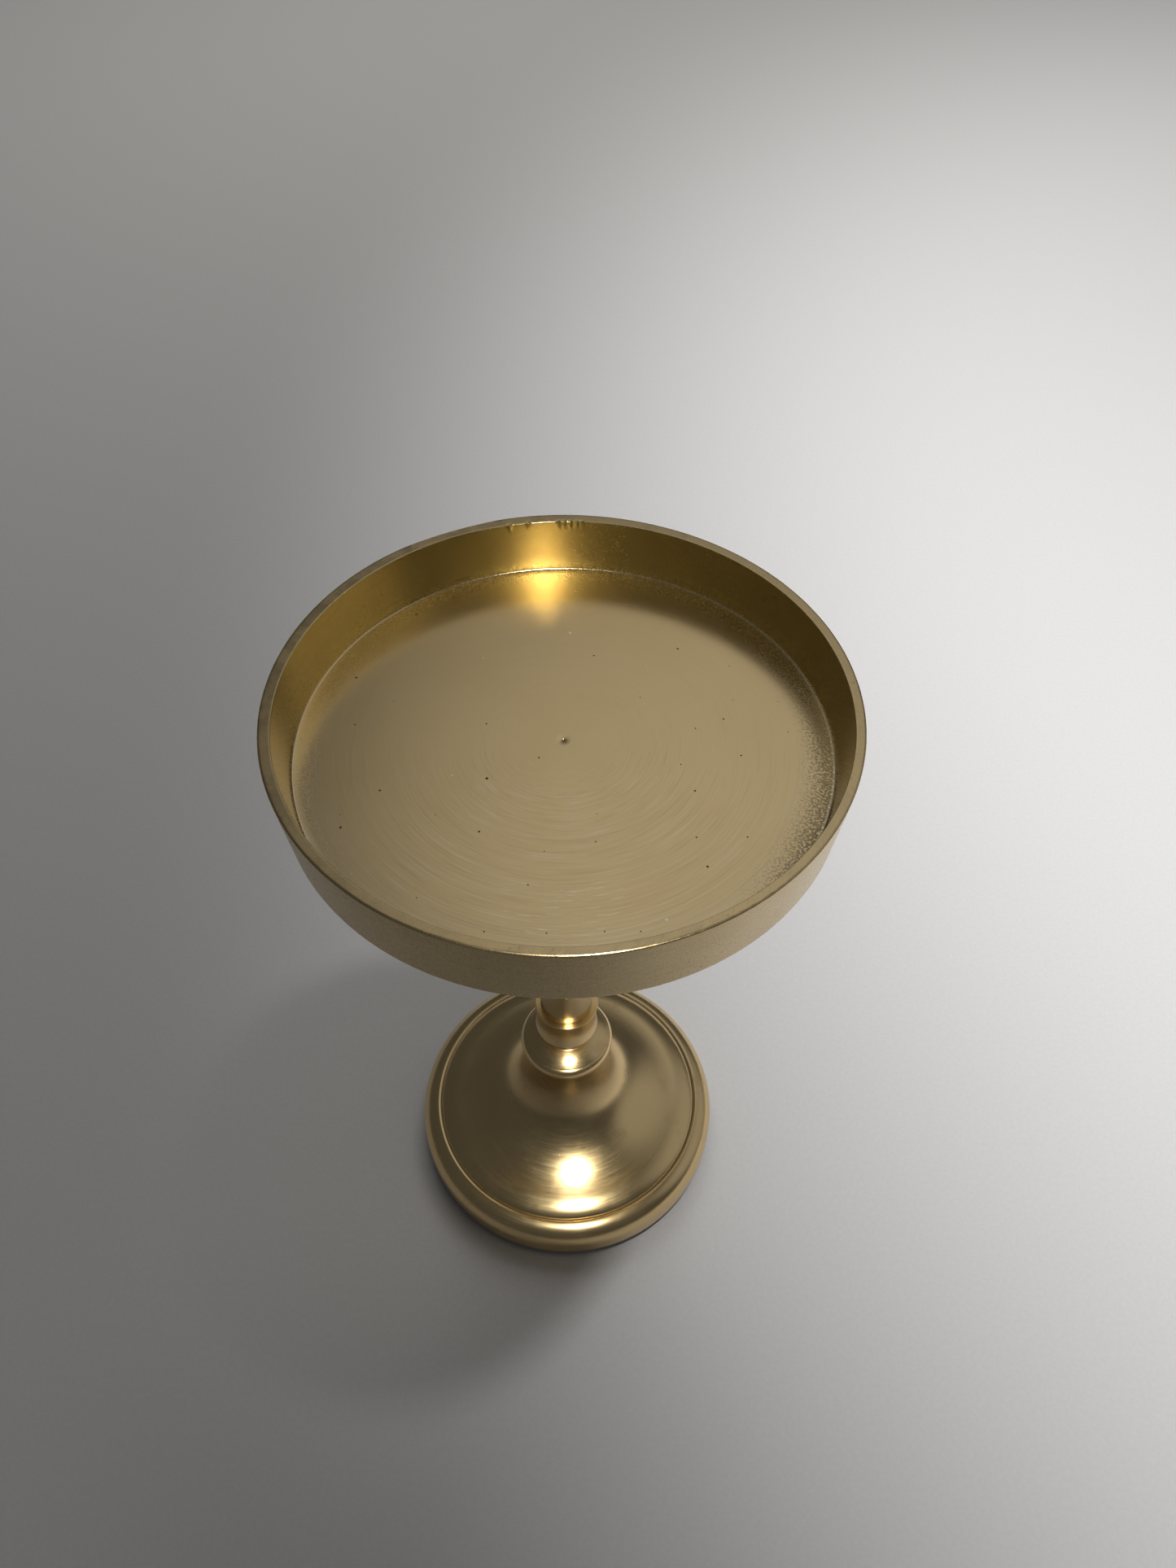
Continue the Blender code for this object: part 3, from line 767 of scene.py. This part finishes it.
def add_studio_light(rim_height):
    """A room glow, soft light on the paper, and a small lamp that only the metal mirrors."""
    add_room_glow()
    add_paper_light("key_pool", KEY_PLACE, KEY_AIM, KEY_POWER, KEY_ANGLE, KEY_BLEND)
    fill = add_light("fill_softbox", "AREA", FILL_PLACE, FILL_AIM, FILL_POWER, FILL_COLOUR)
    fill.data.size = FILL_SIZE
    fill.visible_glossy = False
    place = (LAMP_SIDE, LAMP_FRONT, rim_height + LAMP_ABOVE_RIM)
    lamp = add_light("lamp_by_camera", "AREA", place, (0, 0, rim_height / 2), LAMP_POWER,
                     LAMP_COLOUR)
    lamp.data.size = LAMP_SIZE
    lamp.visible_diffuse = False


# ---------------------------------------------------------------- pieces

def add_dish(materials):
    """The dish: its turned floor, low wall, hand-filed rim, and the boss beneath."""
    low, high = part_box("pan")
    rim = high[2]
    outer = high[0]
    floor = rim - DISH_DEPTH
    underside = floor - DISH_FLOOR_THICKNESS
    inner_top = outer - RIM_WIDTH
    inner_foot = inner_top - DRAFT_INSIDE
    outer_foot = outer - DRAFT_OUTSIDE
    outline = [(radius, floor + rise) for radius, rise in CENTRE_MARK]
    fillet = FLOOR_FILLET
    outline += straight(outline[-1], (inner_foot - fillet, floor), 40)
    outline += arc((inner_foot - fillet, floor + fillet), (fillet, fillet), -90, -5, 6)[1:]
    soft = 0.12 * MM
    outline += straight(outline[-1], (inner_top, rim - soft), 12)
    outline += arc((inner_top + soft, rim - soft), (soft, soft), 180, 90, 5)[1:]
    outline += straight(outline[-1], (outer - BEVEL_WIDTH, rim), 6)
    bevel_start = len(outline) - 1
    outline += arc((outer - BEVEL_WIDTH, rim - BEVEL_DROP), (BEVEL_WIDTH, BEVEL_DROP), 90, 0, 10)[1:]
    bevel_end = len(outline) - 1
    edge = 0.45 * MM
    outline += straight(outline[-1], (outer_foot, underside + edge), 24)
    wall_end = len(outline) - 1
    outline += arc((outer_foot - edge, underside + edge), (edge, edge), 0, -90, 6)[1:]
    outline += straight(outline[-1], (BOSS_RADIUS + BOSS_FILLET, underside), 12)
    fillet_centre = (BOSS_RADIUS + BOSS_FILLET, underside - BOSS_FILLET)
    outline += arc(fillet_centre, (BOSS_FILLET, BOSS_FILLET), 90, 180, 8)[1:]
    outline += straight(outline[-1], (BOSS_RADIUS, low[2]), 3)
    outline += straight(outline[-1], (HOLE_RADIUS, low[2]), 2)
    outline += straight(outline[-1], (HOLE_RADIUS, low[2] + HOLE_DEPTH), 3)
    outline.append((0.0, low[2] + HOLE_DEPTH))

    def shape(radius, height, angle):
        """Set the bore slightly off centre, and give the rim its filed, knocked edge."""
        row = np.arange(len(outline))[:, None] + 0 * angle
        shift = BORE_OFFSET[0] * np.cos(angle) + BORE_OFFSET[1] * np.sin(angle)
        on_floor = np.clip(radius / inner_foot, 0, 1) ** 3
        on_rim = np.clip((outer - BEVEL_WIDTH - radius) / (RIM_WIDTH - BEVEL_WIDTH), 0, 1)
        share = np.where(radius > inner_top, on_rim, on_floor)
        share = np.where(row <= bevel_start, share, 0)
        moved = radius + share * shift
        waves = wobble(angle, 5, (3, 7, 11, 17, 29, 43))
        ragged = wobble(angle, 9, (61, 97, 131, 173)) * bump_at(angle, RAGGED_ANGLE, RAGGED_SPREAD)
        grow = 1 + BEVEL_WAVE * waves + BEVEL_RAGGED * ragged
        bevel = (row > bevel_start - 1) & (row <= bevel_end)
        moved = np.where(bevel, outer - (outer - moved) * grow, moved)
        lowered = np.where(bevel, rim - (rim - height) * grow, height)
        knock = FLAT_DEPTH * bump_at(angle, FLAT_ANGLE, FLAT_SPREAD)
        rim_knock = FLAT_SHARE_ON_RIM * knock * (1 - on_rim)
        down_wall = np.clip((row - bevel_end) / (wall_end - bevel_end), 0, 1)
        flattened = np.where(row > bevel_start, knock * (1 - down_wall) ** 2, rim_knock)
        moved = moved - np.where((row <= wall_end) & (radius > inner_top + soft), flattened, 0)
        bites = sum(bump_at(angle, math.radians(place), NICK_SPREAD) for place in NICK_ANGLES)
        at_edge = np.exp(-((radius - inner_top) / NICK_REACH) ** 2) * (height > rim - 0.3 * MM)
        moved = moved + np.where(row <= bevel_start, NICK_DEPTH * NICK_SLANT * bites * at_edge, 0)
        lowered = lowered - np.where(row <= bevel_start, NICK_DEPTH * bites * at_edge, 0)
        return moved, lowered

    def zone(radius, height):
        """Pick the floor, wall, rim or cast finish."""
        if radius < inner_foot + 0.3 * MM and height > floor - 1.0 * MM and height < floor + 0.25 * MM:
            return 0
        if height > rim - 0.02 * MM:
            return 3
        if height < underside + 0.02 * MM and radius < BOSS_RADIUS + BOSS_FILLET:
            return 4
        return 1 if height > floor and radius < inner_top + 0.6 * MM else 2

    mesh = turned_mesh("dish", outline, DISH_SEGMENTS, shape, zone=zone)
    add_piece("dish", mesh, materials, "pan")


def add_collar(node, material):
    """A waisted collar, bored for the rod."""
    low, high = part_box(node)
    bottom = low[2] - SEAM
    top = high[2] + SEAM
    edge = high[0]
    soft = 0.25 * MM
    waist = edge - COLLAR_WAIST_DEPTH
    outline = arc((edge - soft, top - soft), (soft, soft), 90, 0, 8)
    middle = (top + bottom) / 2
    upper_pull = (waist, middle + COLLAR_WAIST_PULL)
    lower_pull = (waist, middle - COLLAR_WAIST_PULL)
    outline += flare(outline[-1], upper_pull, lower_pull, (edge, bottom + soft), 20)[1:]
    outline += arc((edge - soft, bottom + soft), (soft, soft), 0, -90, 8)[1:]
    mesh = turned_mesh(node, bore(outline, top, bottom), STEM_SEGMENTS, ring=True)
    add_piece(node + "_turned", mesh, [material], node)


def add_stem(material):
    """The plain column."""
    low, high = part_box("stem_tube")
    bottom = low[2] - SEAM
    top = high[2] + SEAM
    edge = high[0]
    soft = 0.15 * MM
    outline = arc((edge - soft, top - soft), (soft, soft), 90, 0, 3)
    outline += straight(outline[-1], (edge, bottom + soft), 40)
    outline += arc((edge - soft, bottom + soft), (soft, soft), 0, -90, 3)[1:]
    mesh = turned_mesh("column", bore(outline, top, bottom), STEM_SEGMENTS, ring=True)
    add_piece("column", mesh, [material], "stem_tube")


def add_bead(material):
    """The bead: a short neck under the collar, a low dome, and a bolder ring beneath it."""
    low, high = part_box("bead_ring")
    bottom = low[2] - SEAM
    top = high[2] + SEAM
    fillet = 0.3 * MM
    dome_centre = (DOME_CENTRE, low[2] - DOME_DROP)
    dome = arc(dome_centre, (DOME_RADIUS, DOME_RADIUS), DOME_START, DOME_END, 20)
    dome_top = dome[0][1]
    outline = [(BEAD_NECK, top)]
    outline += straight(outline[-1], (BEAD_NECK, dome_top + fillet), 6)
    outline += arc((BEAD_NECK + fillet, dome_top + fillet), (fillet, fillet), 180, 255, 5)[1:]
    outline += dome[1:]
    ring_centre = (high[0] - BEAD_RING_REACH, low[2] + BEAD_RING_RISE)
    ring_radii = (BEAD_RING_REACH, BEAD_RING_RISE)
    outline += arc(ring_centre, ring_radii, BEAD_RING_START, BEAD_RING_END, 30)
    outline.append((outline[-1][0] - 0.05 * MM, bottom))
    mesh = turned_mesh("bead", bore(outline, top, bottom), STEM_SEGMENTS, ring=True)
    add_piece("bead", mesh, [material], "bead_ring")


def add_bell(materials):
    """The bell, its rolled lip and rounded foot, and the hollow beneath."""
    low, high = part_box("bell_base")
    bottom = low[2]
    top = high[2]
    edge = high[0]
    neck_pull = (BELL_NECK, top - BELL_NECK_PULL)
    outline = flare((BELL_NECK, top), neck_pull, BELL_SHOULDER_PULL, BELL_SHOULDER, 56)
    outline += flare(BELL_SHOULDER, BELL_ROLL_PULL, BELL_LIP_PULL, BELL_LIP, 20)[1:]
    outline += straight(outline[-1], GROOVE, 4)
    foot_centre = (edge - FOOT_ROUND, FOOT_ROUND_TOP - FOOT_ROUND)
    outline += arc(foot_centre, (FOOT_ROUND, FOOT_ROUND), FOOT_ROUND_START, 0, 28)
    soft = 0.3 * MM
    outline += straight(outline[-1], (edge, bottom + soft), 5)
    outline += arc((edge - soft, bottom + soft), (soft, soft), 0, -90, 4)[1:]
    land = edge - FOOT_LAND
    recess = bottom + RECESS_DEPTH
    outline += [(land, bottom), (land, recess), (HOLLOW_RADIUS, recess)]
    outline += flare((HOLLOW_RADIUS, HOLLOW_HEIGHT), HOLLOW_PULL, HUB_PULL, HUB_SEAT, 24)
    outline += straight(outline[-1], (HOLE_RADIUS, HUB_SEAT[1]), 4)
    outline.append((HOLE_RADIUS, top))

    def zone(radius, height):
        """Pick the polished outside or the cast hollow."""
        hollow = radius < HOLLOW_RADIUS + 0.01 * MM and height < HUB_SEAT[1] + 0.01 * MM
        under = radius < land and height < recess + 0.01 * MM
        lower = np.interp(radius, (0, HUB_SEAT[0], HOLLOW_RADIUS), (HUB_SEAT[1], HUB_SEAT[1], HOLLOW_HEIGHT))
        return 1 if under or (hollow and height < lower + 0.2 * MM) else 0

    mesh = turned_mesh("bell", outline, BASE_SEGMENTS, ring=True, zone=zone)
    add_piece("bell", mesh, materials, "bell_base")


def add_rod(material):
    """The tie rod, with a rolled helical thread at each end."""
    low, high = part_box("tie_rod")
    pitch = THREAD_PITCH
    depth = THREAD_DEPTH
    upper = high[2] - THREAD_UPPER_LENGTH
    lower = low[2] + THREAD_LOWER_LENGTH
    tip = ROD_RADIUS - depth
    outline = [(0.0, high[2]), (tip, high[2])]
    outline += straight(outline[-1], (ROD_RADIUS, high[2] - ROD_CHAMFER), 4)
    outline += straight(outline[-1], (ROD_RADIUS, upper), 72)
    outline += straight(outline[-1], (ROD_RADIUS, lower), 30)
    outline += straight(outline[-1], (ROD_RADIUS, low[2] + ROD_CHAMFER), 144)
    outline += straight(outline[-1], (tip, low[2]), 4)
    outline.append((0.0, low[2]))

    def shape(radius, height, angle):
        """Cut the thread, running out gently at its ends."""
        phase = (height / pitch - angle / TAU) % 1
        tooth = np.clip(np.abs(phase - 0.5) * THREAD_SLOPE - THREAD_FLAT, 0, 1)
        run_out = np.maximum(np.clip((height - upper) / pitch, 0, 1), np.clip((lower - height) / pitch, 0, 1))
        cut = ROD_RADIUS - depth * (1 - tooth) * run_out
        return np.minimum(radius, cut), height

    mesh = turned_mesh("rod", outline, HARDWARE_SEGMENTS, shape)
    add_piece("rod", mesh, [material], "tie_rod")


def add_flat_washer(material):
    """A stamped washer: one edge rolled over, the other slightly sharp."""
    low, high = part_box("flat_washer")
    edge = high[0]
    roll = 0.35 * MM
    outline = arc((edge - roll, high[2] - roll), (roll, roll), 90, 0, 6)
    outline += straight(outline[-1], (edge, low[2] + 0.06 * MM), 3)
    outline.append((edge - 0.06 * MM, low[2]))
    outline = bore(outline, high[2], low[2])
    mesh = turned_mesh("washer", outline, HARDWARE_SEGMENTS, ring=True)
    add_piece("washer", mesh, [material], "flat_washer")


def add_spring_washer(material):
    """A split spring washer: a square wire wound into one turn, its cut ends closed."""
    low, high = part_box("spring_washer")
    outer = high[0]
    inner = HOLE_RADIUS
    soft = 0.12 * MM
    half = (high[2] - low[2]) / 2 - SPRING_RISE
    middle = (inner + outer) / 2
    width = (outer - inner) / 2
    section = []
    for side, level in ((1, 1), (1, -1), (-1, -1), (-1, 1)):
        corner = (middle + side * (width - soft), level * (half - soft))
        start = math.degrees(math.atan2(level, side))
        section += arc(corner, (soft, soft), start + 45, start - 45, 4)
    split = SPRING_GAP / inner
    verts = []
    for step in range(HARDWARE_SEGMENTS + 1):
        share = step / HARDWARE_SEGMENTS
        angle = share * (TAU - split)
        rise = (low[2] + high[2]) / 2 + SPRING_RISE * (1 - 2 * share)
        verts += [(r * math.cos(angle), r * math.sin(angle), rise + z) for r, z in section]
    count = len(section)
    faces = [tuple(range(count))]
    for step in range(HARDWARE_SEGMENTS):
        for corner in range(count):
            beside = (corner + 1) % count
            here = step * count
            faces.append((here + corner, here + count + corner, here + count + beside, here + beside))
    last = HARDWARE_SEGMENTS * count
    faces.append(tuple(last + corner for corner in reversed(range(count))))
    mesh = bpy.data.meshes.new("split_washer")
    mesh.from_pydata(verts, [], faces)
    mesh.shade_smooth()
    mesh.set_sharp_from_angle(angle=SMOOTH_ANGLE)
    add_piece("split_washer", mesh, [material], "spring_washer")


def add_nut(material):
    """A hexagon nut: six flats under a chamfering cone at each face."""
    low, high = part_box("hex_nut")
    across_flats = NUT_ACROSS_FLATS
    corner = across_flats / math.sqrt(3)
    face = across_flats / 2 * NUT_FACE_SHARE
    chamfer = (corner - face) * math.tan(NUT_CHAMFER_ANGLE)
    outline = [(face, high[2])]
    outline += straight(outline[-1], (corner, high[2] - chamfer), 8)
    outline += straight(outline[-1], (corner, low[2] + chamfer), 8)
    outline += straight(outline[-1], (face, low[2]), 8)
    outline = bore(outline, high[2], low[2])

    def shape(radius, height, angle):
        """Cut the six flats."""
        sector = TAU / 6
        offset = (angle % sector) - sector / 2
        flats = across_flats / 2 / np.cos(offset)
        return np.minimum(radius, flats), height

    mesh = turned_mesh("nut", outline, HARDWARE_SEGMENTS * 2, shape, ring=True)
    add_piece("nut", mesh, [material], "hex_nut")


def add_card(material):
    """The backing card, with a slightly uneven die-cut edge."""
    low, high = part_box("backing_card")
    edge = high[0]
    soft = 0.15 * MM
    outline = [(0.0, high[2])]
    outline += straight(outline[-1], (edge - soft, high[2]), 24)
    outline += arc((edge - soft, high[2] - soft), (soft, soft), 90, 0, 3)[1:]
    outline += arc((edge - soft, low[2] + soft), (soft, soft), 0, -90, 3)
    outline += straight(outline[-1], (0.0, low[2]), 24)

    def shape(radius, height, angle):
        """Wear the cut edge a little."""
        worn = CARD_WEAR * (wobble(angle, 3, (5, 13, 31, 67)) + 0.6)
        return radius - worn * (radius / edge) ** 6, height

    mesh = turned_mesh("card", outline, HARDWARE_SEGMENTS * 2, shape)
    add_piece("card", mesh, [material], "backing_card")


def add_felt(material):
    """The felt pad: a soft, slightly furry disc, pressed flat where it rests."""
    low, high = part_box("felt_pad")
    edge = high[0]
    half = (high[2] - low[2]) / 2
    outline = [(0.0, high[2])]
    outline += straight(outline[-1], (edge - half, high[2]), 60)
    outline += arc((edge - half, low[2] + half), (half, half), 90, -90, 14)[1:]
    outline += straight(outline[-1], (0.0, low[2]), 60)

    def shape(radius, height, angle):
        """Raise and sink the fibres a little, all inside the pad's own box."""
        x = radius * np.cos(angle)
        y = radius * np.sin(angle)
        mat = np.sin(x * 2100 + 3 * np.sin(y * 900)) * np.sin(y * 2300 + 2 * np.sin(x * 1100))
        sink = FELT_SINK * (mat * 0.5 + 0.5) * (radius > 0)
        toward = np.sign((low[2] + high[2]) / 2 - height)
        fray = FELT_FRAY * (wobble(angle, 21, (7, 23, 57, 111, 143)) * 0.5 + 0.5)
        return radius - fray * (radius / edge) ** 8, height + toward * sink

    mesh = turned_mesh("felt", outline, BASE_SEGMENTS, shape)
    piece = add_piece("felt", mesh, [material], "felt_pad")


def main():
    """Dress the frame, stand the camera and light it."""
    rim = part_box("pan")[1][2]
    bpy.context.scene.view_settings.view_transform = "Standard"
    add_camera(rim)
    add_floor()
    add_studio_light(rim)
    floor_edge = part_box("pan")[1][0] - RIM_WIDTH - DRAFT_INSIDE
    polished = base_brass("base_brass", BRASS, BRASS_WORN, 0.0)
    # Painted shade: the column takes the darker copy of the brass.
    stem_brass_painted_shade = base_brass("stem_brass", BRASS_SHADED, BRASS_SHADED_WORN, 0.0)
    # The bell's brass carries painted shade on its neck.
    bell_brass_neck_shaded = base_brass("bell_brass", BRASS, BRASS_WORN, BELL_NECK_SHADE)
    casting = cast_brass()
    inner_wall = dish_wall_brass("dish_inner_brass", BRASS_DEEP, BRASS_DEEP_WORN, INNER_WALL_ROUGHNESS)
    # Painted shade: the outer wall takes the darker copy of the brass.
    outer_wall_painted_shade = dish_wall_brass("dish_outer_brass", BRASS_SHADED, BRASS_SHADED_WORN,
                                 OUTER_WALL_ROUGHNESS)
    add_dish([dish_floor_brass(floor_edge), inner_wall, outer_wall_painted_shade, dish_rim_brass(), casting])
    add_collar("upper_collar", polished)
    add_collar("lower_collar", polished)
    add_stem(stem_brass_painted_shade)
    add_bead(polished)
    add_bell([bell_brass_neck_shaded, casting])
    zinc = zinc_plate()
    add_rod(zinc)
    add_flat_washer(zinc)
    add_spring_washer(zinc)
    add_nut(zinc)
    add_card(grey_card())
    add_felt(dark_felt())


main()
